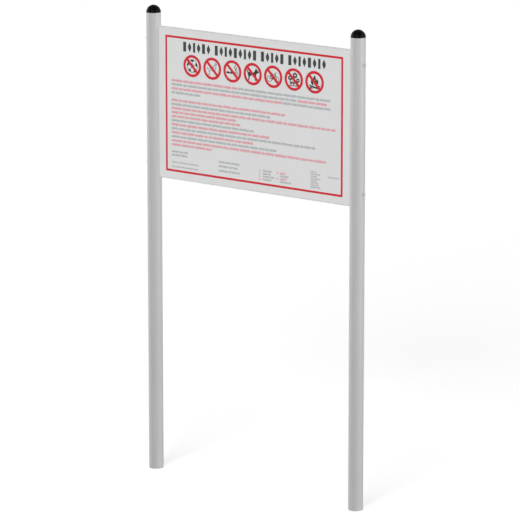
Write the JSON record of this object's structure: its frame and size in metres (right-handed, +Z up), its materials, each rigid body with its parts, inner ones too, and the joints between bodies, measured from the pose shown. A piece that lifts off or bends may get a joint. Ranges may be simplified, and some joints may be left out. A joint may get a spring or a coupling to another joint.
{
  "type": "information board",
  "caption": "Outdoor information board: a shallow folded steel tray with a printed face, bolted between round tube posts with domed plastic caps.",
  "frame": {"origin": "on the ground, midway between the axes of the two posts", "axes": "+Z up along the posts, +X from the left post to the right one, the printed face looks along -Y"},
  "size_m": [1.0818, 0.0602, 1.9302],
  "materials": {
    "post_paint": "satin light grey powder coat",
    "board_paint": "satin pale grey powder coat",
    "film": "printed vinyl film under a satin laminate",
    "cap_plastic": "black moulded polyethylene, glossy",
    "rail_zinc": "galvanised sheet steel",
    "block_zinc": "zinc-plated",
    "screw_steel": "stainless steel"
  },
  "bodies": {
    "root": {"left_post": "post_paint", "right_post": "post_paint", "left_cap": "cap_plastic", "right_cap": "cap_plastic", "board_tray": "board_paint", "print_film": "film", "upper_rail": "rail_zinc", "lower_rail": "rail_zinc", "thread_blocks": "block_zinc", "post_screws": "screw_steel"}
  },
  "joints": []
}
